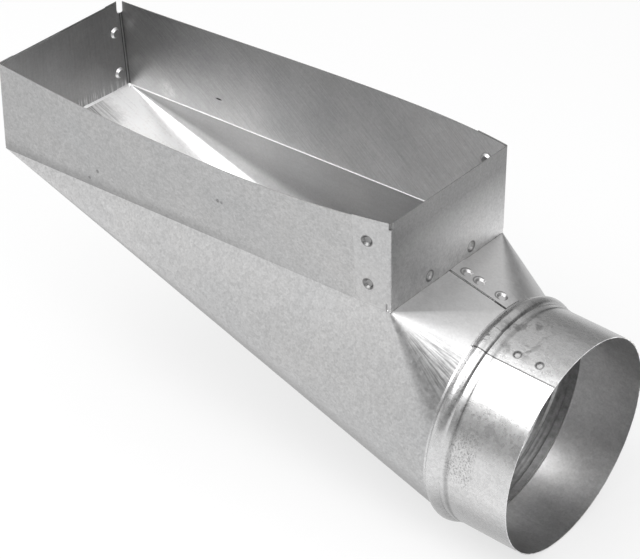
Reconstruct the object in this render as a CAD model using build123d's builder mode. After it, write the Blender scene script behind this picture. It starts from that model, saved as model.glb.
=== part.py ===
from build123d import *
from math import acos, asin, atan2, cos, degrees, hypot, radians, sin, sqrt
import os

# Register boot, millimetres. The origin is the centre of the rectangular opening, in the plane of its rim.
# +X runs along the opening toward the round collar and +Z points up, out of the opening.

# Sheet, and the play left between two sheets that lie against each other
sheet = 0.55
seam_gap = 0.05

# Rectangular opening, inside
opening_length = 279.4
opening_width = 101.6
wall_height = 54.3

# Round collar: its mouth lies this far past the end panel and this far below the fold under the walls
collar_bore = 127.0
collar_length = 53.0
collar_pitch = 3.87
mouth_reach = 86.7
mouth_drop = 76.9
lip_clearance = 0.5

# Bead and step that seat the collar on the neck, measured from the collar's lip
bead_inset = 5.6
bead_height = 2.4
bead_half_width = 4.2
collar_step = 0.35
step_inset = 14.8
step_run = 0.8
neck_end_inset = 13.8

# How far each long wall's rim bows outward, at these places along the opening
near_bow = ((-60.0, 7.4), (20.0, 11.0), (95.0, 8.0))
far_bow = ((-60.0, 3.6), (50.0, 7.5), (100.0, 5.7))

# How far the rims lie below the rim plane: each long wall's lowest place and right end, and the left end wall
near_rim_low = (20.0, 1.6)
near_rim_end = 0.9
far_rim_low = (45.0, 0.55)
far_rim_end = 0.05
left_rim_drop = 0.8

# The left end is upright at its near corner. At its far corner it leans, and its fold stands in this far.
left_skew = 5.3

# Folds, tabs and the flange behind the end panel
fold_radius = 0.7
left_fold_radius = 2.4
left_wall_gap = 1.2
corner_radius = 0.2
left_tab_width = 12.3
panel_tab_width = 21.6
flange_height = 11.0
panel_foot_gap = 0.1

# Gaps and reliefs at the corners
tab_foot_relief = 1.0
far_notch_depth = 7.5
far_notch_width = 3.4
panel_notch_depth = 4.0
panel_notch_width = 1.5
foot_slot_height = 4.6
foot_slot_width = 1.5
corner_cut_height = 2.4
corner_cut_width = 1.2
relief_radius = 0.9

# Lap seams
body_lap_edge = 1.2
body_lap_width = 12.5
collar_lap_angle = 28.0
collar_lap_sweep = 13.0
collar_lap_rise = 9.0

# Clinches: radius at the mouth and at the floor, and depth. The collar's don't stand out inside the bore.
clinch = (3.1, 1.9, 1.2)
clinch_root = 0.1
collar_clinch = (2.2, 1.4, 0.8)
panel_tab_clinch_inset = 14.0
panel_tab_clinch_heights = (12.9, 40.0)
left_tab_clinch_inset = 7.0
left_tab_clinch_heights = (10.0, 36.0)
flange_clinch_places = (-17.0, 20.8)
flange_clinch_height = 5.6
body_lap_clinch_inset = 6.0
body_lap_clinch_places = (8.6, 17.3, 32.1)
collar_lap_clinch_angle = 21.5
collar_lap_clinch_places = (28.2, 14.2)

# Worked-out levels and places
half_length = opening_length / 2
half_width = opening_width / 2
fold_level = -wall_height
bead_place = collar_length - bead_inset
step_place = collar_length - step_inset
neck_end_place = collar_length - neck_end_inset
bore_radius = collar_bore / 2
left_wall_face = -(half_length + sheet)
left_tab_face = left_wall_face - sheet
panel_face = half_length + sheet
flange_face = half_length - seam_gap
wall_face = half_width + sheet
panel_tab_face = wall_face + seam_gap + sheet
collar_inside = bore_radius + collar_step
neck_radius = collar_inside - seam_gap
foot_slot_place = half_length - fold_radius - foot_slot_width / 2
panel_play = sheet + seam_gap

pitch = radians(collar_pitch)
collar_out = Vector(cos(pitch), 0, -sin(pitch))
collar_up = Vector(sin(pitch), 0, cos(pitch))
mouth = Vector(half_length + mouth_reach, 0, fold_level - mouth_drop)
collar_axis = Axis(mouth, collar_out)
neck_centre = mouth - collar_out * (collar_length + lip_clearance)
neck_plane = Plane(origin=neck_centre, x_dir=(0, -1, 0), z_dir=-collar_out)
outer_fold = Plane.XY.offset(fold_level)
stand_on_floor = (Align.CENTER, Align.CENTER, Align.MIN)
hang_from_top = (Align.CENTER, Align.CENTER, Align.MAX)
start_at_left = (Align.MIN, Align.CENTER, Align.CENTER)
end_at_right = (Align.MAX, Align.CENTER, Align.CENTER)


def slope_of(corner_x, neck_point):
    """Angle below level of the slope from a fold to a point of the neck."""
    return atan2(fold_level - neck_point.Z, neck_point.X - corner_x)


def fold_shift(slope):
    """Height between the fold lines of the sheet's two faces, where the sheet keeps its thickness."""
    return sheet * (1 - sin(slope)) / cos(slope)


long_slope = slope_of(left_wall_face, neck_centre - collar_up * neck_radius)
short_slope = slope_of(flange_face, neck_centre + collar_up * neck_radius)
inner_left = Vector(-half_length, 0, fold_level + fold_shift(long_slope))
inner_right = Vector(flange_face - sheet, 0, fold_level - fold_shift(short_slope))
inner_run = inner_right - inner_left
inner_middle = (inner_left + inner_right) / 2
inner_fold = Plane(origin=inner_middle, x_dir=inner_run, z_dir=inner_run.cross(Vector(0, 1, 0)))
outer_shape = (left_wall_face, flange_face, wall_face, corner_radius + sheet, neck_radius)
inner_shape = (-inner_run.length / 2, inner_run.length / 2, half_width, corner_radius, neck_radius - sheet)


def left_lean(across, level):
    """How far the left end stands in at this place across the opening and this level."""
    return left_skew * (across + half_width) / opening_width * level / fold_level


def side_run(side, left, half, bow, start):
    """Points along one long side, measured from start, straight where bow is empty."""
    ends = ((left - start, side * half), (panel_face - start, side * half))
    return [ends[0], *[(place - start, side * (half + out)) for place, out in bow], ends[1]]


def bowed_block(half, left, right, floor, left_fold=0, right_fold=0):
    """Block between the two long walls: straight along the fold, bowed outward along the rim."""
    start = floor.origin.X
    near_foot, far_foot = [left + left_lean(side * half, fold_level) for side in (-1, 1)]
    with BuildPart() as block:
        with BuildSketch(floor):
            with BuildLine():
                near = Line(side_run(-1, near_foot, half, (), start))
                far = Line(side_run(1, far_foot, half, (), start))
                Line(near @ 0, far @ 0)
                Line(near @ 1, far @ 1)
            make_face()
        with BuildSketch(Plane.XY):
            with BuildLine():
                near = Spline(side_run(-1, left, half, near_bow, 0))
                far = Spline(side_run(1, left, half, far_bow, 0))
                Line(near @ 0, far @ 0)
                Line(near @ 1, far @ 1)
            make_face()
        loft(ruled=True)
        with Locations((right, 0, 0)):
            Box(opening_width, 4 * opening_width, 3 * wall_height, align=start_at_left, mode=Mode.SUBTRACT)
        for radius, rank in ((left_fold, slice(0, 2)), (right_fold, slice(-2, None))):
            if radius:
                upright = block.edges().filter_by(lambda edge: abs((edge @ 1 - edge @ 0).Z) > wall_height / 2)
                fillet(upright.sort_by(Axis.X)[rank], radius)
    return block.part


def end_slab(outer, inner, half, low, high):
    """Slab of the leaning left end between two faces and two levels, this far to each side of the middle."""
    with BuildPart() as slab:
        for level in (low, high):
            corners = [
                (face + left_lean(across, level), across)
                for face, across in ((outer, -half), (inner, -half), (inner, half), (outer, half))
            ]
            with BuildSketch(Plane.XY.offset(level)):
                with BuildLine():
                    Polyline(*corners, close=True)
                make_face()
        loft(ruled=True)
    return slab.part


def touch_angle(half, radius):
    """Where the flat side below a long wall meets the neck, from level up round the neck."""
    height = (fold_level - neck_centre.Z) / cos(pitch)
    return degrees(atan2(height, half) - acos(radius / hypot(half, height)))


def square_to_round(fold, left, right, half, corner, radius):
    """Transition from the rectangle to the neck: four flat triangles and four conical corners."""
    near_left, far_left = [left + left_lean(side * half, fold_level) for side in (-1, 1)]
    with BuildLine(fold):
        sides = [
            Line((near_left + corner, -half), (right - corner, -half)),
            Line((right, -half + corner), (right, half - corner)),
            Line((right - corner, half), (far_left + corner, half)),
            Line((far_left, half - corner), (near_left, -half + corner)),
        ]
        corners = [
            CenterArc((right - corner, -half + corner), corner, 270, 90),
            CenterArc((right - corner, half - corner), corner, 0, 90),
            CenterArc((far_left + corner, half - corner), corner, 90, 90),
            CenterArc((near_left + corner, -half + corner), corner, 180, 90),
        ]
    touch = touch_angle(half, radius)
    stops = (touch, 90, 180 - touch, 270, 360 + touch)
    with BuildLine(neck_plane):
        arcs = [CenterArc((0, 0), radius, start, end - start) for start, end in zip(stops, stops[1:])]
    flats = [Face(Wire.make_polygon([side @ 0, side @ 1, arc @ 0])) for side, arc in zip(sides, arcs)]
    cones = [Face.make_surface_from_curves(turn, arc) for turn, arc in zip(corners, arcs)]
    caps = [Face(Wire(sides + corners)), Face(Wire(arcs))]
    return Solid(Shell(flats + cones + caps))


def along_collar(turn):
    """Plane through the collar's axis, turned from the top to the near side: x along the axis, y outward."""
    across = Vector(0, 1, 0)
    outward = collar_up * cos(radians(turn)) - across * sin(radians(turn))
    return Plane(origin=mouth, x_dir=collar_out, z_dir=collar_out.cross(outward))


def bead_arc(base):
    """Bead on a sheet face whose plain radius is base, from its upstream foot to its downstream foot."""
    curve = (bead_half_width**2 + bead_height**2) / (2 * bead_height)
    centre = neck_radius + bead_height - curve
    reach = curve + base - neck_radius
    foot = sqrt(reach**2 - (base - centre) ** 2)
    return (-bead_place - foot, base), (-bead_place, centre + reach), (-bead_place + foot, base)


def bead_curve(base):
    """The bead as one smooth curve."""
    arc = ThreePointArc(*bead_arc(base), mode=Mode.PRIVATE)
    return Spline([arc @ share for share in (0, 0.25, 0.5, 0.75, 1)], tangents=(arc % 0, arc % 1))


def collar_section(turn, inside, step):
    """Section of one collar layer, from its lip over the bead and down the step to the mouth."""
    outside = inside + sheet
    outer = bead_arc(outside)
    inner = bead_arc(inside)
    with BuildSketch(along_collar(turn)) as section:
        with BuildLine():
            Polyline((-collar_length, inside), (-collar_length, outside), outer[0])
            bead_curve(outside)
            Polyline(
                outer[2],
                (-step_place - step_run, outside),
                (-step_place, outside - step),
                (0, outside - step),
                (0, inside - step),
                (-step_place, inside - step),
                (-step_place - step_run, inside),
                inner[2],
            )
            bead_curve(inside)
            Line(inner[0], (-collar_length, inside))
        make_face()
    return section.sketch


def neck_section():
    """Section of the body's neck, from the end of the transition over the bead to its raw end."""
    start = -(collar_length + lip_clearance)
    outer = bead_arc(neck_radius)
    inner = bead_arc(neck_radius - sheet)
    with BuildSketch(along_collar(0)) as section:
        with BuildLine():
            Polyline((start, neck_radius - sheet), (start, neck_radius), outer[0])
            bead_curve(neck_radius)
            Polyline(
                outer[2],
                (-neck_end_place, neck_radius),
                (-neck_end_place, neck_radius - sheet),
                inner[2],
            )
            bead_curve(neck_radius - sheet)
            Line(inner[0], (start, neck_radius - sheet))
        make_face()
    return section.sketch


def press(spot, size, depth, thickness):
    """Presses one dimple into the sheet that starts at depth under spot, so that stacked sheets nest."""
    at_mouth, at_floor, fall = size
    lean = (at_mouth - at_floor) / fall
    widen = hypot(1, lean) - lean
    for layer, over, mode in ((depth + thickness, clinch_root, Mode.ADD), (depth, sheet, Mode.SUBTRACT)):
        wide = at_mouth + widen * layer + lean * over
        narrow = at_floor + widen * layer
        with Locations(spot.offset(over - layer)):
            Cone(narrow, wide, fall + over, align=hang_from_top, mode=mode)


def tab_spot(face, side, level):
    """Where a clinch meets the outside of one tab of the end panel."""
    line = Axis((panel_face - panel_tab_clinch_inset, side * opening_width, level), (0, -side, 0))
    point, normal = face.find_intersection_points(line)[0]
    return Plane(origin=point, x_dir=(0, 0, 1), z_dir=normal * (side if normal.Y > 0 else -side))


def on_short_slope(down, across):
    """Spot on top of the body's lap, this far down the short slope from the fold."""
    along = Vector(cos(short_slope), 0, -sin(short_slope))
    up = Vector(sin(short_slope), 0, cos(short_slope))
    place = Vector(flange_face, across, fold_level) + along * down + up * sheet
    return Plane(origin=place, x_dir=along, z_dir=up)


def on_collar(back, radius):
    """Spot on the collar's lap at this radius, this far back from the mouth."""
    outward = along_collar(collar_lap_clinch_angle).y_dir
    return Plane(origin=mouth - collar_out * back + outward * radius, x_dir=collar_out, z_dir=outward)


# End panel: a channel whose two tabs lie outside the long walls

with BuildPart() as end_panel:
    tab_inside = panel_tab_face - sheet
    add(bowed_block(panel_tab_face, left_tab_face, panel_face, outer_fold, right_fold=fold_radius + sheet))
    inside = bowed_block(tab_inside, left_tab_face, half_length, outer_fold, right_fold=fold_radius)
    add(inside, mode=Mode.SUBTRACT)
    with Locations((half_length - panel_tab_width, 0, 0)):
        Box(2 * opening_length, 2 * opening_width, 3 * wall_height, align=end_at_right, mode=Mode.SUBTRACT)
    with Locations((half_length, 0, fold_level)):
        Box(2 * opening_width, 2 * opening_width, 2 * panel_foot_gap, mode=Mode.SUBTRACT)
    with Locations((panel_face, -panel_tab_face, 0)):
        Box(2 * panel_notch_width, 2 * panel_notch_width, 2 * panel_notch_depth, mode=Mode.SUBTRACT)
    with Locations((panel_face, panel_tab_face, fold_level)):
        Box(2 * corner_cut_width, 2 * corner_cut_width, 2 * corner_cut_height, mode=Mode.SUBTRACT)
    with Locations((foot_slot_place, -panel_tab_face, fold_level)):
        Box(foot_slot_width, 4 * sheet, 2 * foot_slot_height, mode=Mode.SUBTRACT)
    flange_clinch_level = fold_level + flange_clinch_height
    flange_spots = [
        Plane(origin=(panel_face, place, flange_clinch_level), x_dir=(0, 1, 0), z_dir=(1, 0, 0))
        for place in flange_clinch_places
    ]
    tab_faces = end_panel.faces().filter_by(GeomType.PLANE, reverse=True).sort_by(Axis.Y)
    tab_spots = [
        tab_spot(face, side, fold_level + height)
        for face, side in ((tab_faces[0], -1), (tab_faces[-1], 1))
        for height in panel_tab_clinch_heights
    ]
    for spot in flange_spots + tab_spots:
        press(spot, clinch, 0, sheet)
end_panel.part.label = "end_panel"


# Body: long walls, left end wall, transition and neck, folded from one sheet and lapped on the short slope

with BuildPart() as body_lap:
    raised_fold = Plane.XY.offset(fold_level + sheet / cos(short_slope))
    raised_corner = corner_radius + 2 * sheet
    raised_shape = (left_tab_face, flange_face, wall_face + sheet, raised_corner, neck_radius + sheet)
    add(square_to_round(raised_fold, *raised_shape))
    add(square_to_round(outer_fold, *outer_shape), mode=Mode.SUBTRACT)
    with Locations((panel_face + seam_gap, body_lap_edge, neck_centre.Z)):
        Box(
            opening_width,
            body_lap_width,
            wall_height + mouth_drop,
            align=(Align.MIN, Align.MIN, Align.MIN),
            mode=Mode.INTERSECT,
        )

with BuildPart() as body_shell:
    add(bowed_block(wall_face, left_tab_face, flange_face, outer_fold, left_fold=left_fold_radius + sheet))
    add(square_to_round(outer_fold, *outer_shape))
    flange_inside = flange_face - sheet
    inside = bowed_block(half_width, left_wall_face, flange_inside, inner_fold, left_fold=left_fold_radius)
    add(inside, mode=Mode.SUBTRACT)
    add(square_to_round(inner_fold, *inner_shape), mode=Mode.SUBTRACT)
    outside = left_tab_face - sheet
    between_tabs = wall_face - left_tab_width
    foot_level = fold_level + tab_foot_relief
    add(end_slab(outside, left_wall_face, between_tabs, fold_level, wall_height), mode=Mode.SUBTRACT)
    tab_foot = end_slab(outside, left_wall_face, opening_width, fold_level - tab_foot_relief, foot_level)
    add(tab_foot, mode=Mode.SUBTRACT)
    with Locations((flange_face, 0, fold_level + flange_height)):
        Box(2 * sheet, opening_width, wall_height, align=stand_on_floor, mode=Mode.SUBTRACT)
    for side in (-1, 1):
        with Locations((half_length, side * (half_width - fold_radius + panel_tab_width / 2), fold_level)):
            Box(2 * fold_radius, panel_tab_width, 2 * wall_height, align=stand_on_floor, mode=Mode.SUBTRACT)
    for side, low, end in ((-1, near_rim_low, near_rim_end), (1, far_rim_low, far_rim_end)):
        with BuildSketch(Plane.XZ):
            with BuildLine():
                ThreePointArc((-half_length, 0), (low[0], -low[1]), (flange_face, -end))
                Polyline(
                    (flange_face, -end),
                    (panel_face, -end),
                    (panel_face, wall_height),
                    (-half_length, wall_height),
                    (-half_length, 0),
                )
            make_face()
        extrude(amount=-side * opening_width, mode=Mode.SUBTRACT)
    add(end_slab(left_wall_face, -half_length, half_width - left_wall_gap, fold_level, -left_rim_drop))
    add(body_lap.part)
    add(neck_section())
    revolve(axis=collar_axis)
    with BuildSketch(Plane(origin=(left_wall_face, half_width, 0), x_dir=(1, 1, 0), z_dir=(1, -1, 0))):
        with Locations((0, -far_notch_depth / 2 + far_notch_width / 4)):
            Rectangle(far_notch_width, far_notch_depth - far_notch_width / 2)
        with Locations((0, -far_notch_depth + far_notch_width / 2)):
            Circle(far_notch_width / 2)
    extrude(amount=left_tab_width / 4, both=True, mode=Mode.SUBTRACT)
    for side in (-1, 1):
        corner = (-half_length + left_lean(side * half_width, fold_level), side * half_width, fold_level)
        with BuildSketch(Plane(origin=corner, z_dir=(1, -side, 0))):
            Circle(relief_radius)
        extrude(amount=left_tab_width / 4, both=True, mode=Mode.SUBTRACT)
    with BuildSketch(Plane(origin=(foot_slot_place, -wall_face, fold_level), z_dir=(0, -1, 0))):
        with Locations((0, foot_slot_height / 2)):
            Rectangle(foot_slot_width, foot_slot_height)
        Circle(foot_slot_width / 2)
    extrude(amount=2 * sheet, both=True, mode=Mode.SUBTRACT)
    for spot in flange_spots + tab_spots:
        press(spot, clinch, panel_play, sheet)
    for side in (-1, 1):
        for height in left_tab_clinch_heights:
            across = side * (half_width - left_tab_clinch_inset)
            place = (left_tab_face + left_lean(across, fold_level + height), across, fold_level + height)
            press(Plane(origin=place, x_dir=(0, 1, 0), z_dir=(-1, 0, 0)), clinch, 0, 2 * sheet)
    for place in body_lap_clinch_places:
        press(on_short_slope(place, body_lap_edge + body_lap_clinch_inset), clinch, 0, 2 * sheet)
body_shell.part.label = "body_shell"


# Collar: one rolled sheet, lapped on the near side of the top, where its outer end climbs onto the inner one

climb_end = collar_lap_angle - collar_lap_sweep
climb_start = climb_end - collar_lap_rise
climb_base = bore_radius + sheet
climb_top = climb_base + sheet
climb_turn = radians(collar_lap_rise)
climb_shift = (climb_top**2 - climb_base**2) / (2 * (climb_base - climb_top * cos(climb_turn)))
climb_arc = degrees(asin(climb_top * sin(climb_turn) / (climb_base + climb_shift)))
climb_axis = Axis(mouth - along_collar(climb_start).y_dir * climb_shift, collar_out)

with BuildPart() as collar_lap:
    add(collar_section(climb_end, collar_inside + sheet, collar_step))
    revolve(axis=collar_axis, revolution_arc=collar_lap_sweep)

with BuildPart() as collar_climb:
    add(collar_section(climb_start, collar_inside, collar_step))
    revolve(axis=climb_axis, revolution_arc=climb_arc)

with BuildPart() as round_collar:
    add(collar_section(0, collar_inside, collar_step))
    revolve(axis=collar_axis)
    add(collar_climb.part)
    add(collar_lap.part)
    at_mouth, at_floor, fall = collar_clinch
    collar_spots = [on_collar(place, bore_radius + 2 * sheet) for place in collar_lap_clinch_places]
    collar_spots.append(on_collar(bead_place, collar_inside + 2 * sheet + bead_height))
    with Locations(*collar_spots):
        Cone(at_floor, 2 * at_mouth - at_floor, 2 * fall, mode=Mode.SUBTRACT)
round_collar.part.label = "round_collar"

os.makedirs("parts", exist_ok=True)
for piece, name in ((body_shell, "body_shell"), (end_panel, "end_panel"), (round_collar, "round_collar")):
    export_step(piece.part, f"parts/{name}.step")
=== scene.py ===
from math import degrees

import bpy
from mathutils import Matrix, Vector


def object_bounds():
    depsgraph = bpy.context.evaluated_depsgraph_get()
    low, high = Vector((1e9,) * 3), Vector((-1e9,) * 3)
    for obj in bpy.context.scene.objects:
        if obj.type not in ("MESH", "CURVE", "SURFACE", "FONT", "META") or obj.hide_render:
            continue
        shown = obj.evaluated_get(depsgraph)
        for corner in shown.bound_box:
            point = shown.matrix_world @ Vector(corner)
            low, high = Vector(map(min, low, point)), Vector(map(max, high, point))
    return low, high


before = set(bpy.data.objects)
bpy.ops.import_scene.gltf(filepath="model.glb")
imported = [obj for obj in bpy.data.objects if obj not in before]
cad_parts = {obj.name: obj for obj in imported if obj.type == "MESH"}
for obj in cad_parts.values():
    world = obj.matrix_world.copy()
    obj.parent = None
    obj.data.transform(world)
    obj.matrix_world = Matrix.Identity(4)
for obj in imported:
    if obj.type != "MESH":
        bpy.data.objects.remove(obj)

cad_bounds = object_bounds()

# Camera of the photograph: 640 x 559 pixels, long lens, looking down on the boot from the collar's side
SENSOR = 36.0
FOCAL_PIXELS = 2586.04
IMAGE_WIDTH = 640
RIGHT = Vector((0.78378806, 0.62102786, 0.00081558))
UP = Vector((-0.33584455, 0.42275795, 0.84171501))
FORWARD = Vector((-0.52238368, 0.66000009, -0.53992146))
EYE = Vector((0.811371, -0.958766, 0.689787))
CLIP_START = 0.05
CLIP_END = 30

# Lengths below are in metres. A fade gives where a change starts and ends, and the values there if they
# aren't 0 and 1. A band gives its middle, the distance from it where the band is gone and the one up to which
# it's full. A spot gives its middle, its size and the share of its size that is full, if that isn't a half.

# The body: a fold runs round the foot of its upright walls
FOLD = -0.0543
WALL_FOOT = FOLD - 0.0005
UNDER_FOLD = FOLD - 0.0004
FOLD_FALL = -0.0027
FOLD_LINE = (0.0006, 0.0001)
FOLD_LINE_Y = 0.04
BODY_MIDDLE = Vector((0.08, 0, -0.075))
FAR_CORNER = Vector((-0.1344, 0.0508, -0.0541))
NEAR_CORNER = Vector((0.1392, -0.0514, -0.0543))
END_X = -0.1397
END_LEAN = 0.0053 / FOLD
FAR_END_Y = 0.0502
CORNER_GAP = (0.0016, 0.0009)
RIM_FOOT = -0.004
SLOPE_START = 0.139
NECK_START = 0.17
LAP_EDGE = (0.0011, 0.0006, 0.0003)

# Tones of the body's faces, painted light and shade: each face of the one metal gets its own tone with fades
# across it, and faces turned down are darker; 0 is black, 1 is white
WALL_FADE_X = (-0.14, 0.1, 0.4371, 0.4935)
LOWER_FADE_Z = (FOLD - 0.005, FOLD - 0.05, 0.6032, 0.52)
INSIDE_FADE_X = (-0.055, 0.0, 1.0, 0.8)
FAR_FADE_X = (0.0, 0.1, 0.44, 0.5192)
END_TONE = 0.52
SLOPE_TONE = 0.59
FOLD_HIGHLIGHT_TONE = 0.92
LAP_TONE = 0.1
UNDERSIDE_SHADE_FADE = (-0.22, -0.62, 1.0, 0.6)
SLOPE_FACING = (0.35, 0.75)

# The far flank inside is told by fall over run from the far corner, with a run of at least LEAST_RUN; its
# tone is painted shade, and the sharp edge of it paints a crease
LEAST_RUN = 0.0001
FLANK_START_Y = 0.015
FLANK_EDGE = (0.352, 0.342)
FLANK_FADE = (0.24, 0.31, 0.3, 0.57)

# Marks on the body
FOOT_RISE = (FOLD + 0.008, FOLD + 0.0005)
FOOT_FADE_X = (-0.03, 0.09, 1.0, 0.1)
FAR_LEFT_FADE_X = (-0.03, -0.1)
GLINT_RISE = (FOLD + 0.0075, FOLD + 0.002)
LANDING_FADE_Y = (0.036, 0.016)
LANDING_FADE_X = (-0.112, -0.122)
HIGHLIGHT_PATCH = ((-0.1035, 0.0515, -0.0478), 0.01, 0.1)
SLOT = (-0.0643, 0.0518, -0.0412)
SLOT_STRETCH = (0.4, 1, 1.6)
SLOT_SIZE = 0.0012
SPECKS = (
    ((-0.0649, -0.0525, -0.0427), 0.0016),
    ((-0.0723, -0.0515, -0.0497), 0.0014),
    ((0.0274, -0.0567, -0.0253), 0.0018),
    ((0.0301, -0.0566, -0.0256), 0.0016),
)
FAN_ANGLES = (0.66, 0.26, 0.08)
FAN_FADE_X = (0.142, 0.162)
FAN_END_Y = -0.02
LANDING_STREAKING = (0.45, 0.55)
NECK_DIRT_AND_SHADE_TONES = (0.06, 0.34)

# The end panel: painted light and shade make its face lighter toward its foot and darker toward its top, and
# give its tabs a tone of their own
PANEL_FADE_Z = (-0.054, -0.012, 0.779, 0.2888)
TAB_TONE = 0.53

# The collar: turn is in degrees from its top toward the near side, run in metres out of its mouth, and one
# degree of turn is COLLAR_DEGREE metres of sheet
MOUTH = Vector((0.2264, 0, -0.1312))
COLLAR_OUT = Vector((0.99772, 0, -0.067493))
COLLAR_UP = Vector((0.067493, 0, 0.99772))
COLLAR_DEGREE = 0.001119
SEAM_TURN = 28.0
SEAM = (SEAM_TURN, 0.35, 0.2)
# Tones by turn and height, painted light and shade: darker below, lighter toward the near side, inside
# lighter toward its top; the lap is darker toward the top
LAP_END_TURN = (SEAM_TURN - 0.5, SEAM_TURN + 0.5)
LAP_FADE_TURN = (9.0, 24.0, 0.72, 0.87)
NEAR_FADE_TURN = (60.0, 95.0, 0.88, 1.03)
LOW_FADE_TURN = (92.0, 116.0, 0.6875, 0.396)
INNER_FADE_HEIGHT = (-0.055, 0.06, 0.5015, 0.9145)
SEAM_TONE = 0.18
STEP_RUN = (-0.0386, 0.0022, 0.0004)
SMUDGE_TURN = (8.0, 20.0, 9.0)
SMUDGE_RUN = (-0.034, 0.016, 0.009)
DIRT_TURN = (79.0, 21.0, 9.0)
DIRT_RUN = (-0.0315, 0.011, 0.006)

# Clinches: where they are, and the radius of the ring of dirt and painted shade round each
TAB_X = 0.1262
TAB_HEIGHTS = (-0.0143, -0.0414)
TAB_CLINCHES = tuple((TAB_X, 0, height) for height in TAB_HEIGHTS)
TAB_HOLLOW = (0.003, 0.8)
FAR_TAB_CLINCH = ((TAB_X, 0.0515, TAB_HEIGHTS[0]), 0.005, 0.7)
FLANGE_CLINCHES = tuple((0, side, -0.0487) for side in (-0.017, 0.0208))
SLOPE_CLINCHES = tuple((along, 0.0072, 0) for along in (0.147, 0.1554, 0.1698))
SLOPE_STRETCH = 1.033
COLLAR_CLINCH_TURN = 21.5
COLLAR_CLINCHES = tuple((COLLAR_CLINCH_TURN * COLLAR_DEGREE, run, 0) for run in (-0.0142, -0.0282))
CLINCH_RING = 0.0031
COLLAR_RING = 0.0022
RING_WIDTH = (0.0007, 0.0002)

# How much a mark changes the tone under it: -0.6 takes 60 percent away
FOOT_SHADE = -0.24
FAR_LEFT_SHADE = -0.18
PATCH_HIGHLIGHT = 0.4
END_GLINTS = 0.7
LANDING_SHADE = -0.65
FAR_CLINCH_SHADE = -0.6
SLOT_SHADE = -0.95
SPECK_SHADE = -0.8
RIM_SHADE = -0.6
GAP_SHADE = -0.75
RING_DIRT_AND_SHADE = -0.55
SCUFF_AND_REFLECTION_SHADE = -0.55
PANEL_RIM_SHADE = -0.5
HOLLOW_SHADE = -0.45
SMUDGE_SHADE = -0.4
COLLAR_RING_DIRT_AND_SHADE = -0.5
COLLAR_DIRT = -0.5
LIP_HIGHLIGHT = 0.35
STEP_SHADE = -0.3

# How strongly streaks and patches vary the tone of each face
OUTSIDE_STREAKS = 0.05
INSIDE_STREAKS = 0.3
FAR_STREAKS = 0.6
OUTSIDE_PATCHES = 0.1
INSIDE_PATCHES = 0.3
COLLAR_SMEARS = 0.22
COLLAR_STREAKS = 0.14

# Roughness of each face
OUTSIDE_ROUGH = 0.36
INSIDE_ROUGH = 0.3
DEEP_ROUGH = 0.46
FLANK_ROUGH = 0.5
END_ROUGH = 0.34
FAR_ROUGH = 0.42
PANEL_ROUGH = 0.42
COLLAR_ROUGH = 0.25
DIRT_ROUGH = 0.15

# What every sheet shares: how much of a normal has to lie along an axis for a face, or a cut edge, to count
# as facing it, the colour's parts, the zinc crystals in a metre and the heights of the bumps
FACES = 0.8
EDGE_FACES = 0.9
BASE_LEVEL = 0.94
CLOUD_SHARE = 0.12
FLAKE_SHARE = 0.16
MOTTLE_SHARE = 0.6
WARMTH = 0.02
GREEN_LEVEL = 0.997
BLUE_LEVEL = 0.998
CRYSTALS_PER_METRE = 520
WAVE_HEIGHT = 0.0012
RIDGE_HEIGHT = 0.0003
GRAIN_HEIGHT = 0.0001

# The studio: grey levels of the sky from straight down, at 0, to straight up, at 1, and the lamps
SKY = ((0.0, 0.9), (0.49, 0.9), (0.5, 0.45), (0.62, 0.45), (0.72, 0.5), (0.78, 0.6), (0.86, 1.0), (1.0, 1.0))
SKY_BESIDE_SHADE = -0.6
FLOOR_HALF = 6.0
FLOOR_GAP = 0.0005
FLOOR_COLOUR = (0.8, 0.8, 0.8, 1)
FLOOR_GLOW = 0.7
LAMP_AIM = Vector((0.05, 0, -0.08))
LAMP_DISTANCE = 1.6


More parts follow.
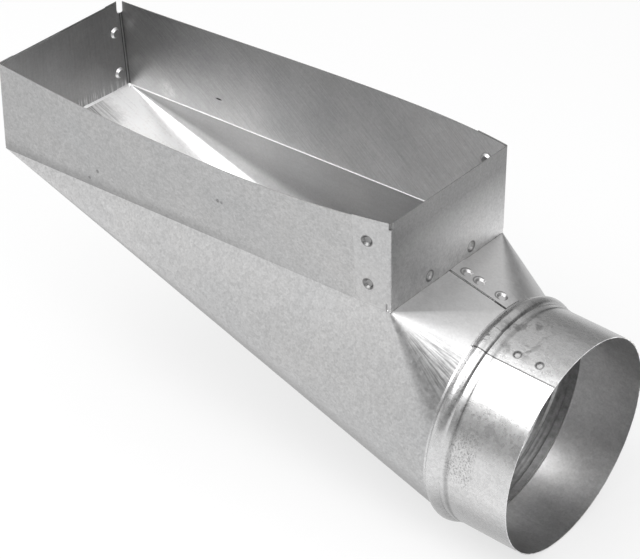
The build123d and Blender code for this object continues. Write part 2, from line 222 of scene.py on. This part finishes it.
class Graph:
    """A node tree written as short calls. A value is a number, a vector or the socket that gives it."""

    def __init__(self, tree):
        self.tree = tree

    def node(self, kind, **settings):
        """A new node with its settings."""
        made = self.tree.nodes.new(kind)
        for name, setting in settings.items():
            setattr(made, name, setting)
        return made

    def feed(self, socket, value):
        """Sets an input to a plain value, or links it to the socket that gives the value."""
        if isinstance(value, bpy.types.NodeSocket):
            self.tree.links.new(value, socket)
        else:
            socket.default_value = value

    def math(self, operation, *values, clamp=False):
        """The result of one Math node."""
        made = self.node("ShaderNodeMath", operation=operation, use_clamp=clamp)
        for socket, value in zip(made.inputs, values):
            self.feed(socket, value)
        return made.outputs[0]

    def times(self, first, *others):
        """The product of all values."""
        for other in others:
            first = self.math("MULTIPLY", first, other)
        return first

    def above(self, value, limit):
        """1 where value is greater than limit, else 0."""
        return self.math("GREATER_THAN", value, limit)

    def below(self, value, limit):
        """1 where value is less than limit, else 0."""
        return self.math("LESS_THAN", value, limit)

    def opposite(self, mask):
        """1 where mask is 0, and 0 where it is 1."""
        return self.math("SUBTRACT", 1.0, mask)

    def lift(self, base, amount, share, clamp=False):
        """Adds amount times share to base."""
        return self.math("MULTIPLY_ADD", share, amount, base, clamp=clamp)

    def shade(self, tone, change, mask):
        """Changes tone by that share of it where mask is 1, and not at all where mask is 0."""
        return self.times(tone, self.lift(1.0, change, mask))

    def centred(self, pattern):
        """A pattern from 0 to 1, moved to lie around 0."""
        return self.math("SUBTRACT", pattern, 0.5)

    def mix(self, share, a, b):
        """a where share is 0, b where it is 1."""
        made = self.node("ShaderNodeMix", data_type="FLOAT")
        for i, value in ((0, share), (2, a), (3, b)):
            self.feed(made.inputs[i], value)
        return made.outputs[0]

    def remap(self, value, low, high, to_low=0.0, to_high=1.0, smooth=False):
        """Goes from to_low where value is low to to_high where it is high, and stays level beyond both."""
        made = self.node("ShaderNodeMapRange", interpolation_type="SMOOTHSTEP" if smooth else "LINEAR")
        if low > high:
            low, high, to_low, to_high = high, low, to_high, to_low
        ends = {"Value": value, "From Min": low, "From Max": high, "To Min": to_low, "To Max": to_high}
        for name, end in ends.items():
            self.feed(made.inputs[name], end)
        return made.outputs["Result"]

    def band(self, value, middle, outer, inner, smooth=True):
        """1 where value is within inner of middle, fading to 0 at outer."""
        apart = self.math("ABSOLUTE", self.math("SUBTRACT", value, middle))
        return self.remap(apart, outer, inner, smooth=smooth)

    def axes(self, vector):
        """The three coordinates of a vector."""
        made = self.node("ShaderNodeSeparateXYZ")
        self.feed(made.inputs[0], vector)
        return made.outputs

    def joined(self, *values):
        """The vector of these coordinates."""
        made = self.node("ShaderNodeCombineXYZ")
        for socket, value in zip(made.inputs, values):
            self.feed(socket, value)
        return made.outputs[0]

    def vector(self, operation, a, b):
        """The result of one Vector Math node."""
        made = self.node("ShaderNodeVectorMath", operation=operation)
        self.feed(made.inputs[0], a)
        self.feed(made.inputs[1], b)
        return made.outputs["Value" if operation in ("DOT_PRODUCT", "DISTANCE") else "Vector"]

    def dot(self, a, b):
        return self.vector("DOT_PRODUCT", a, b)

    def scaled(self, direction, amount):
        """The direction times an amount."""
        made = self.node("ShaderNodeVectorMath", operation="SCALE")
        self.feed(made.inputs[0], direction)
        self.feed(made.inputs["Scale"], amount)
        return made.outputs["Vector"]

    def noise(self, vector, scale, detail=3.0, rough=0.6, distortion=0.0):
        """Noise from 0 to 1 with about scale grains per unit."""
        made = self.node("ShaderNodeTexNoise")
        self.feed(made.inputs["Vector"], vector)
        values = {"Scale": scale, "Detail": detail, "Roughness": rough, "Distortion": distortion}
        for name, value in values.items():
            self.feed(made.inputs[name], value)
        return made.outputs["Fac"]

    def flat_noise(self, first, second, detail=3.0, distortion=0.0):
        """Noise over two coordinates, each a pair of the value and how many grains it has per unit."""
        flat = self.joined(self.times(*first), self.times(*second))
        return self.noise(flat, 1.0, detail=detail, distortion=distortion)

    def bump(self, distance, strength, height):
        """A Bump node, whose Normal is left to be linked."""
        made = self.node("ShaderNodeBump")
        for name, value in {"Distance": distance, "Strength": strength, "Height": height}.items():
            self.feed(made.inputs[name], value)
        return made


class Sheet(Graph):
    """The metal of one sheet. Coordinates are the frame's own, in metres."""

    def __init__(self, name):
        self.material = bpy.data.materials.new(name)
        self.material.use_nodes = True
        super().__init__(self.material.node_tree)
        self.shader = self.tree.nodes["Principled BSDF"]
        self.shader.inputs["Metallic"].default_value = 1.0
        spots = self.node("ShaderNodeTexCoord")
        self.where = spots.outputs["Object"]
        self.facing = spots.outputs["Normal"]
        self.x, self.y, self.z = self.axes(self.where)
        self.facing_x, self.facing_y, self.facing_z = self.axes(self.facing)
        crystal = self.node("ShaderNodeTexVoronoi", feature="F1")
        self.feed(crystal.inputs["Scale"], CRYSTALS_PER_METRE)
        self.feed(crystal.inputs["Vector"], self.where)
        shades = self.node("ShaderNodeSeparateColor")
        self.feed(shades.inputs[0], crystal.outputs["Color"])
        self.flake = shades.outputs[0]

    def streaks(self, along, across, fine, coarse):
        """Fine lines that run along one direction of the sheet."""
        lengthways = (self.dot(self.where, along), coarse)
        crossways = (self.dot(self.where, across), fine)
        return self.flat_noise(lengthways, crossways, detail=4.0, distortion=0.2)

    def near(self, where, place, size, soft=0.5):
        """1 around one place, fading out at size."""
        return self.remap(self.vector("DISTANCE", where, place), size, size * soft, smooth=True)

    def clinch_rings(self, where, flatten, places, radius):
        """1 on the thin ring of dirt and painted shade round each clinch; flatten drops the axis that they
        are pressed along.
        """
        flat = self.vector("MULTIPLY", where, flatten)
        rings = None
        for place in places:
            middle = tuple(a * b for a, b in zip(place, flatten))
            ring = self.band(self.vector("DISTANCE", flat, middle), radius, *RING_WIDTH)
            rings = ring if rings is None else self.math("MAXIMUM", rings, ring)
        return rings

    def paint(self, tone, grain):
        """Gives the shader its colour: the tone with spangle as strong as grain, and faint clouds."""
        mottle = self.centred(self.noise(self.where, 800))
        cloud = self.noise(self.where, 22, rough=0.5)
        spangle = self.lift(self.times(mottle, MOTTLE_SHARE), FLAKE_SHARE, self.centred(self.flake))
        level = self.lift(self.lift(BASE_LEVEL, grain, spangle), CLOUD_SHARE, cloud)
        value = self.times(tone, level)
        warmth = self.times(self.centred(cloud), WARMTH)
        colour = self.node("ShaderNodeCombineColor")
        self.feed(colour.inputs[0], self.times(value, self.math("ADD", warmth, 1.0)))
        self.feed(colour.inputs[1], self.times(value, GREEN_LEVEL))
        self.feed(colour.inputs[2], self.times(value, self.math("SUBTRACT", BLUE_LEVEL, warmth)))
        self.feed(self.shader.inputs["Base Color"], colour.outputs[0])

    def roughen(self, rough, line):
        """Gives the shader its roughness, which varies with the streaks and from crystal to crystal."""
        rough = self.lift(rough, 0.10, self.centred(line))
        self.feed(self.shader.inputs["Roughness"], self.lift(rough, 0.06, self.flake, clamp=True))

    def emboss(self, line, waves, grain, ridge=None):
        """Gives the shader its bumps: waves in the sheet, a ridge if one is given, and a fine grain."""
        bumps = [self.bump(WAVE_HEIGHT, waves, self.noise(self.where, 20, detail=2.0, rough=0.5))]
        if ridge is not None:
            bumps.append(self.bump(RIDGE_HEIGHT, 1.0, ridge))
        fine = self.lift(self.times(line, 0.6), 0.4, self.flake)
        bumps.append(self.bump(GRAIN_HEIGHT, grain, fine))
        for under, over in zip(bumps, bumps[1:]):
            self.feed(over.inputs["Normal"], under.outputs[0])
        self.feed(self.shader.inputs["Normal"], bumps[-1].outputs[0])


class BodySheet(Sheet):
    """The folded body. Its faces are told apart by where they are and which way they face."""

    def __init__(self):
        super().__init__("body_galvanised")
        to_middle = self.vector("SUBTRACT", BODY_MIDDLE, self.where)
        self.inside = self.above(self.dot(self.facing, to_middle), 0.0)
        self.outside = self.opposite(self.inside)
        self.on_wall = self.above(self.z, WALL_FOOT)
        self.deep = self.times(self.inside, self.below(self.z, UNDER_FOLD))
        self.on_end = self.times(self.inside, self.above(self.facing_x, FACES))
        self.on_far = self.times(self.inside, self.below(self.facing_y, -FACES), self.above(self.z, FOLD))
        self.on_slope = self.times(self.outside, self.remap(self.facing_z, *SLOPE_FACING))
        self.fall = self.fall_from_far_corner()
        self.on_flank = self.times(self.deep, self.above(self.y, FLANK_START_Y))
        self.on_flank = self.times(self.on_flank, self.remap(self.fall, *FLANK_EDGE))
        self.line = self.lines()
        # The far fold's line: a bumped ridge, and a painted highlight in mark_edges
        self.fold_ridge_and_highlight = self.fold_line()
        tone = self.weather(self.base_tone())
        tone = self.mark_left_end(self.mark_far_wall(tone))
        tone = self.mark_slope(self.mark_edges(self.mark_near_wall(tone)))
        self.paint(tone, grain=self.mix(self.inside, self.lift(1.0, -0.6, self.on_slope), 0.45))
        self.roughen(self.base_roughness(), self.line)
        self.emboss(self.line, waves=0.2, grain=self.mix(self.inside, 0.3, 0.1), ridge=self.fold_ridge_and_highlight)

    def fall_from_far_corner(self):
        """How far a point lies below the far corner, over how far it lies to the right of it."""
        right, _, up = self.axes(self.vector("SUBTRACT", self.where, FAR_CORNER))
        return self.math("DIVIDE", self.times(up, -1.0), self.math("MAXIMUM", right, LEAST_RUN))

    def lines(self):
        """The streaks: upright on the left end, slanted on the far wall and lengthways elsewhere."""
        upright = self.streaks(along=(0, 0, 1), across=(0, 1, 0), fine=900, coarse=30)
        slanted = self.streaks(along=(0.82, 0, -0.57), across=(0.57, 0, 0.82), fine=1300, coarse=45)
        lengthways = self.streaks(along=(1, 0, -0.42), across=(0, 1, 0), fine=700, coarse=25)
        return self.mix(self.on_far, self.mix(self.on_end, lengthways, upright), slanted)

    def fold_line(self):
        """1 on the thin line of the far wall's fold, inside, which gets a painted highlight and a bumped
        ridge.
        """
        fold = self.band(self.z, self.lift(FOLD, FOLD_FALL, self.x), *FOLD_LINE)
        return self.times(fold, self.above(self.y, FOLD_LINE_Y), self.inside)

    def base_tone(self):
        """Each face's tone, painted light and shade: lit and shaded faces get their own tones and fades."""
        wall = self.remap(self.x, *WALL_FADE_X)
        lower = self.remap(self.z, *LOWER_FADE_Z, smooth=True)
        inner = self.remap(self.x, *INSIDE_FADE_X, smooth=True)
        far = self.remap(self.x, *FAR_FADE_X, smooth=True)
        flank = self.remap(self.fall, *FLANK_FADE, smooth=True)
        underside = self.remap(self.facing_z, *UNDERSIDE_SHADE_FADE, smooth=True)
        tone = self.mix(self.on_wall, lower, wall)
        tone = self.mix(self.inside, tone, inner)
        tone = self.mix(self.on_end, tone, END_TONE)
        tone = self.mix(self.on_far, tone, far)
        tone = self.mix(self.on_flank, tone, flank)
        # Faces turned down get painted shade
        tone = self.times(tone, self.mix(self.inside, underside, 1.0))
        return self.mix(self.on_slope, tone, SLOPE_TONE)

    def weather(self, tone):
        """Streaks and cloudy patches, strongest inside."""
        streaks = self.mix(self.on_far, self.mix(self.inside, OUTSIDE_STREAKS, INSIDE_STREAKS), FAR_STREAKS)
        tone = self.shade(tone, streaks, self.centred(self.line))
        patches = self.mix(self.inside, OUTSIDE_PATCHES, INSIDE_PATCHES)
        return self.shade(tone, patches, self.centred(self.noise(self.where, 34)))

    def mark_far_wall(self, tone):
        """Inside the far wall: painted shade toward the left, a painted highlight on a patch, and painted
        shade at a clinch and in the slot.
        """
        left = self.remap(self.x, *FAR_LEFT_FADE_X, smooth=True)
        tone = self.shade(tone, FAR_LEFT_SHADE, self.times(self.on_far, left))
        # A painted highlight on a patch of the far wall
        patch = self.times(self.near(self.where, *HIGHLIGHT_PATCH), self.on_far)
        patch = self.times(patch, self.remap(self.noise(self.where, 420), 0.35, 0.65))
        tone = self.shade(tone, PATCH_HIGHLIGHT, patch)
        # Painted shade in the clinch's hollow and in the slot
        clinch = self.times(self.near(self.where, *FAR_TAB_CLINCH), self.on_far)
        tone = self.shade(tone, FAR_CLINCH_SHADE, clinch)
        middle = tuple(a * b for a, b in zip(SLOT, SLOT_STRETCH))
        slot = self.near(self.vector("MULTIPLY", self.where, SLOT_STRETCH), middle, SLOT_SIZE)
        return self.shade(tone, SLOT_SHADE, self.times(slot, self.inside))

    def mark_left_end(self, tone):
        """Inside the left end: painted glints at its foot, and painted shade on the landing below it, broken
        up by the streaks.
        """
        # Painted glints along the foot of the left end
        glints = self.times(self.remap(self.z, *GLINT_RISE, smooth=True), self.on_end)
        tone = self.shade(tone, END_GLINTS, self.times(glints, self.remap(self.line, 0.5, 0.62)))
        # Painted shade on the landing, broken up by the streaks
        landing = self.times(self.deep, self.above(self.facing_z, 0.5))
        landing = self.times(landing, self.remap(self.y, *LANDING_FADE_Y, smooth=True))
        landing = self.times(landing, self.remap(self.x, *LANDING_FADE_X, smooth=True))
        landing = self.times(landing, self.lift(*LANDING_STREAKING, self.remap(self.line, 0.42, 0.58)))
        return self.shade(tone, LANDING_SHADE, landing)

    def mark_near_wall(self, tone):
        """Outside the near wall: painted shade along its foot, and the specks."""
        # Painted shade along the foot of the near wall, fading to the right
        foot = self.remap(self.z, *FOOT_RISE, smooth=True)
        foot = self.times(foot, self.below(self.facing_y, -0.7), self.below(self.y, 0.0), self.on_wall)
        foot = self.times(foot, self.remap(self.x, *FOOT_FADE_X, smooth=True))
        tone = self.shade(tone, FOOT_SHADE, foot)
        grit = self.noise(self.where, 1400, detail=2.0)
        for place, size in SPECKS:
            tone = self.shade(tone, SPECK_SHADE, self.times(self.near(self.where, place, size), grit))
        return tone

    def mark_edges(self, tone):
        """The cut rim, painted shade in the open corner at the far left, a painted highlight on the far fold
        and the edge of the slope's lap.
        """
        rim = self.times(self.above(self.facing_z, EDGE_FACES), self.above(self.z, RIM_FOOT))
        rim = self.times(rim, self.lift(0.2, 0.8, self.above(self.y, 0.0)))
        tone = self.shade(tone, RIM_SHADE, rim)
        from_end = self.math("SUBTRACT", self.x, self.lift(END_X, END_LEAN, self.z))
        from_far = self.math("SUBTRACT", self.y, FAR_END_Y)
        apart = self.math("ADD", self.times(from_end, from_end), self.times(from_far, from_far))
        gap = self.times(self.remap(self.math("SQRT", apart), *CORNER_GAP), self.inside)
        tone = self.shade(tone, GAP_SHADE, gap)
        # A painted highlight along the far fold
        tone = self.mix(self.fold_ridge_and_highlight, tone, FOLD_HIGHLIGHT_TONE)
        lap = self.band(self.y, *LAP_EDGE, smooth=False)
        lap = self.times(lap, self.outside, self.above(self.x, SLOPE_START))
        return self.mix(lap, tone, LAP_TONE)

    def mark_slope(self, tone):
        """Rings of dirt and painted shade round the slope's clinches, mottled dirt and painted shade in the
        neck, and the dark fan below the near corner, scuffs with a painted dark reflection.
        """
        # Rings of dirt and painted shade round the slope's clinches
        rings = self.clinch_rings(self.where, (SLOPE_STRETCH, 1, 0), SLOPE_CLINCHES, CLINCH_RING)
        tone = self.shade(tone, RING_DIRT_AND_SHADE, self.times(rings, self.on_slope))
        # Mottled dirt and painted shade deep in the neck
        neck = self.times(self.inside, self.above(self.x, NECK_START))
        mottle = self.noise(self.where, 260, detail=4.0, rough=0.7)
        tone = self.mix(neck, tone, self.lift(*NECK_DIRT_AND_SHADE_TONES, mottle))
        # A dark streaked fan below the near corner: scuffs and a painted dark reflection
        right, _, up = self.axes(self.vector("SUBTRACT", self.where, NEAR_CORNER))
        angle = self.math("ARCTAN2", self.times(up, -1.0), right)
        scuffs_and_reflection = self.band(angle, *FAN_ANGLES)
        scuffs_and_reflection = self.times(scuffs_and_reflection, self.remap(self.x, *FAN_FADE_X, smooth=True))
        scuffs_and_reflection = self.times(scuffs_and_reflection, self.outside, self.below(self.y, FAN_END_Y))
        scuffs_and_reflection = self.times(scuffs_and_reflection, self.remap(self.flat_noise((angle, 55), (self.x, 60)), 0.4, 0.6))
        return self.shade(tone, SCUFF_AND_REFLECTION_SHADE, scuffs_and_reflection)

    def base_roughness(self):
        """The even roughness of each face."""
        rough = self.mix(self.inside, OUTSIDE_ROUGH, INSIDE_ROUGH)
        rough = self.mix(self.deep, rough, DEEP_ROUGH)
        rough = self.mix(self.on_flank, rough, FLANK_ROUGH)
        rough = self.mix(self.on_end, rough, END_ROUGH)
        return self.mix(self.on_far, rough, FAR_ROUGH)


class PanelSheet(Sheet):
    """The end panel above the collar, and its tabs round the long walls."""

    def __init__(self):
        super().__init__("panel_galvanised")
        on_front = self.above(self.facing_x, FACES)
        line = self.streaks(along=(0, 0, 1), across=(0, 1, 0), fine=500, coarse=30)
        # Painted light and shade: the face lighter toward its foot, the tabs a tone of their own
        tone = self.mix(on_front, TAB_TONE, self.remap(self.z, *PANEL_FADE_Z))
        clouds = self.noise(self.where, 30, rough=0.55)
        tone = self.times(tone, self.lift(BASE_LEVEL, CLOUD_SHARE, clouds))
        tone = self.shade(tone, PANEL_RIM_SHADE, self.above(self.facing_z, EDGE_FACES))
        self.paint(self.mark_clinches(tone), grain=0.8)
        self.roughen(self.mix(on_front, OUTSIDE_ROUGH, PANEL_ROUGH), line)
        self.emboss(line, waves=0.15, grain=0.25)

    def mark_clinches(self, tone):
        """A ring of dirt and painted shade round each clinch, and painted shade in the hollow of those on the
        tabs.
        """
        flange_rings = self.clinch_rings(self.where, (0, 1, 1), FLANGE_CLINCHES, CLINCH_RING)
        tab_rings = self.clinch_rings(self.where, (1, 0, 1), TAB_CLINCHES, CLINCH_RING)
        # Rings of dirt and painted shade, then painted shade in the tab hollows
        tone = self.shade(tone, RING_DIRT_AND_SHADE, self.math("MAXIMUM", flange_rings, tab_rings))
        on_tab = self.vector("MULTIPLY", self.where, (1, 0, 1))
        for place in TAB_CLINCHES:
            tone = self.shade(tone, HOLLOW_SHADE, self.near(on_tab, place, *TAB_HOLLOW))
        return tone


class CollarSheet(Sheet):
    """The rolled collar, marked by turn and run."""

    def __init__(self):
        super().__init__("collar_galvanised")
        from_mouth = self.vector("SUBTRACT", self.where, MOUTH)
        self.run = self.dot(from_mouth, COLLAR_OUT)
        self.height = self.dot(from_mouth, COLLAR_UP)
        angle = self.math("ARCTAN2", self.dot(from_mouth, (0, -1, 0)), self.height)
        self.turn = self.times(angle, degrees(1))
        from_axis = self.vector("SUBTRACT", from_mouth, self.scaled(COLLAR_OUT, self.run))
        self.inside = self.below(self.dot(self.facing, from_axis), 0.0)
        self.outside = self.opposite(self.inside)
        self.line = self.flat_noise((self.turn, 0.9), (self.run, 120), detail=4.0, distortion=0.3)
        dirt = self.dirt()
        # The inside gets painted light and shade, lighter toward its top
        tone = self.mix(self.inside, self.outer_tone(), self.remap(self.height, *INNER_FADE_HEIGHT))
        tone = self.shade(self.weather(tone), COLLAR_DIRT, self.times(dirt, self.outside))
        self.paint(self.mark_edges(tone), grain=0.7)
        rough = self.mix(self.inside, COLLAR_ROUGH, INSIDE_ROUGH)
        self.roughen(self.lift(rough, DIRT_ROUGH, dirt), self.line)
        self.emboss(self.line, waves=0.12, grain=0.22)

    def outer_tone(self):
        """The outside: painted shade below and painted light toward the near side, darker on the lap toward
        the top, with smudges and rings of dirt and painted shade round the clinches.
        """
        tone = self.remap(self.turn, *LOW_FADE_TURN, smooth=True)
        tone = self.times(tone, self.remap(self.turn, *NEAR_FADE_TURN, smooth=True))
        lap = self.remap(self.turn, *LAP_FADE_TURN, smooth=True)
        tone = self.times(tone, self.mix(self.remap(self.turn, *LAP_END_TURN), lap, 1.0))
        smudge = self.flat_noise((self.turn, 0.11), (self.run, 110), distortion=0.6)
        smudge = self.remap(smudge, 0.5, 0.62, smooth=True)
        smudge = self.times(smudge, self.band(self.turn, *SMUDGE_TURN), self.band(self.run, *SMUDGE_RUN))
        tone = self.shade(tone, SMUDGE_SHADE, smudge)
        unrolled = self.joined(self.times(self.turn, COLLAR_DEGREE), self.run)
        # Rings of dirt and painted shade round the collar's clinches
        rings = self.clinch_rings(unrolled, (1, 1, 1), COLLAR_CLINCHES, COLLAR_RING)
        return self.shade(tone, COLLAR_RING_DIRT_AND_SHADE, rings)

    def weather(self, tone):
        """Broad smears and fine streaks round the band."""
        smear = self.flat_noise((self.turn, 0.16), (self.run, 45), distortion=0.8)
        tone = self.shade(tone, COLLAR_SMEARS, self.centred(smear))
        return self.shade(tone, COLLAR_STREAKS, self.centred(self.line))

    def dirt(self):
        """The field of fine grains and dashes on the near side."""
        field = self.times(self.band(self.turn, *DIRT_TURN), self.band(self.run, *DIRT_RUN))
        dashes = self.flat_noise((self.turn, 0.8), (self.run, 1500), detail=2.0)
        grime = self.math("MAXIMUM", self.noise(self.where, 900, rough=0.7), dashes)
        return self.times(field, self.remap(grime, 0.53, 0.66, smooth=True))

    def mark_edges(self, tone):
        """A painted highlight on the lip of the mouth, the dark edge of the lap and painted shade in the
        step.
        """
        # Painted highlight on the mouth's lip
        tone = self.shade(tone, LIP_HIGHLIGHT, self.above(self.dot(self.facing, COLLAR_OUT), EDGE_FACES))
        seam = self.times(self.band(self.turn, *SEAM, smooth=False), self.outside)
        tone = self.mix(seam, tone, SEAM_TONE)
        return self.shade(tone, STEP_SHADE, self.times(self.band(self.run, *STEP_RUN), self.outside))


def dress_nodes():
    """Gives each CAD node its sheet's material."""
    sheets = {"body_shell": BodySheet(), "end_panel": PanelSheet(), "round_collar": CollarSheet()}
    for name, sheet in sheets.items():
        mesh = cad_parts[name].data
        mesh.materials.clear()
        mesh.materials.append(sheet.material)


def floor_material():
    """White that also glows a little to the camera and in reflections, so that it shows as plain white."""
    material = bpy.data.materials.new("floor_white")
    material.use_nodes = True
    graph = Graph(material.node_tree)
    graph.tree.nodes.clear()
    out = graph.node("ShaderNodeOutputMaterial")
    diffuse = graph.node("ShaderNodeBsdfDiffuse")
    graph.feed(diffuse.inputs["Color"], FLOOR_COLOUR)
    glow = graph.node("ShaderNodeEmission")
    path = graph.node("ShaderNodeLightPath")
    seen = graph.math("MAXIMUM", path.outputs["Is Camera Ray"], path.outputs["Is Glossy Ray"])
    seen = graph.math("MAXIMUM", seen, path.outputs["Is Transmission Ray"])
    blend = graph.node("ShaderNodeMixShader")
    parts = (graph.times(seen, FLOOR_GLOW), diffuse.outputs[0], glow.outputs[0])
    for socket, part in zip(blend.inputs, parts):
        graph.feed(socket, part)
    graph.feed(out.inputs[0], blend.outputs[0])
    return material


def make_floor():
    mesh = bpy.data.meshes.new("floor")
    level = cad_bounds[0][2] - FLOOR_GAP
    corners = [(x * FLOOR_HALF, y * FLOOR_HALF, level) for x, y in ((-1, -1), (1, -1), (1, 1), (-1, 1))]
    mesh.from_pydata(corners, [], [(0, 1, 2, 3)])
    mesh.materials.append(floor_material())
    floor = bpy.data.objects.new("floor", mesh)
    bpy.context.scene.collection.objects.link(floor)


def make_world():
    """A grey sky that is bright below and overhead, and darker low down beside the collar."""
    world = bpy.data.worlds.new("studio")
    world.use_nodes = True
    bpy.context.scene.world = world
    graph = Graph(world.node_tree)
    background = graph.tree.nodes["Background"]
    x, _, z = graph.axes(graph.node("ShaderNodeTexCoord").outputs["Generated"])
    ramp = graph.node("ShaderNodeValToRGB")
    bar = ramp.color_ramp.elements
    while len(bar) < len(SKY):
        bar.new(0.5)
    for element, (place, level) in zip(bar, SKY):
        element.position = place
        element.color = (level, level, level, 1)
    graph.feed(ramp.inputs[0], graph.remap(z, -1.0, 1.0))
    beside = graph.times(graph.remap(x, -0.35, 0.2), graph.remap(z, 0.7, 0.4))
    level = graph.shade(ramp.outputs[0], SKY_BESIDE_SHADE, beside)
    grey = graph.node("ShaderNodeCombineColor")
    for socket in grey.inputs[:3]:
        graph.feed(socket, level)
    graph.feed(background.inputs["Color"], grey.outputs[0])
    background.inputs["Strength"].default_value = 1.0


def make_lamp(name, direction, size, power):
    data = bpy.data.lights.new(name, "AREA")
    data.shape = "RECTANGLE"
    data.size, data.size_y = size
    data.energy = power
    lamp = bpy.data.objects.new(name, data)
    away = Vector(direction).normalized()
    lamp.location = LAMP_AIM + away * LAMP_DISTANCE
    lamp.rotation_euler = away.to_track_quat("Z", "Y").to_euler()
    bpy.context.scene.collection.objects.link(lamp)


def make_camera():
    data = bpy.data.cameras.new("photo_camera")
    data.sensor_width = SENSOR
    data.lens = FOCAL_PIXELS * SENSOR / IMAGE_WIDTH
    data.clip_start = CLIP_START
    data.clip_end = CLIP_END
    camera = bpy.data.objects.new("photo_camera", data)
    turn = Matrix((RIGHT, UP, -FORWARD)).transposed().to_4x4()
    camera.matrix_world = Matrix.Translation(EYE) @ turn
    bpy.context.scene.collection.objects.link(camera)
    bpy.context.scene.camera = camera


dress_nodes()
make_floor()
make_world()
make_lamp("key_softbox", direction=(-0.2, -0.5, 0.84), size=(1.7, 1.1), power=20.0)
make_lamp("side_softbox", direction=(0.64, -0.33, 0.69), size=(0.7, 0.75), power=4.7)
make_camera()
bpy.context.scene.view_settings.view_transform = "Standard"
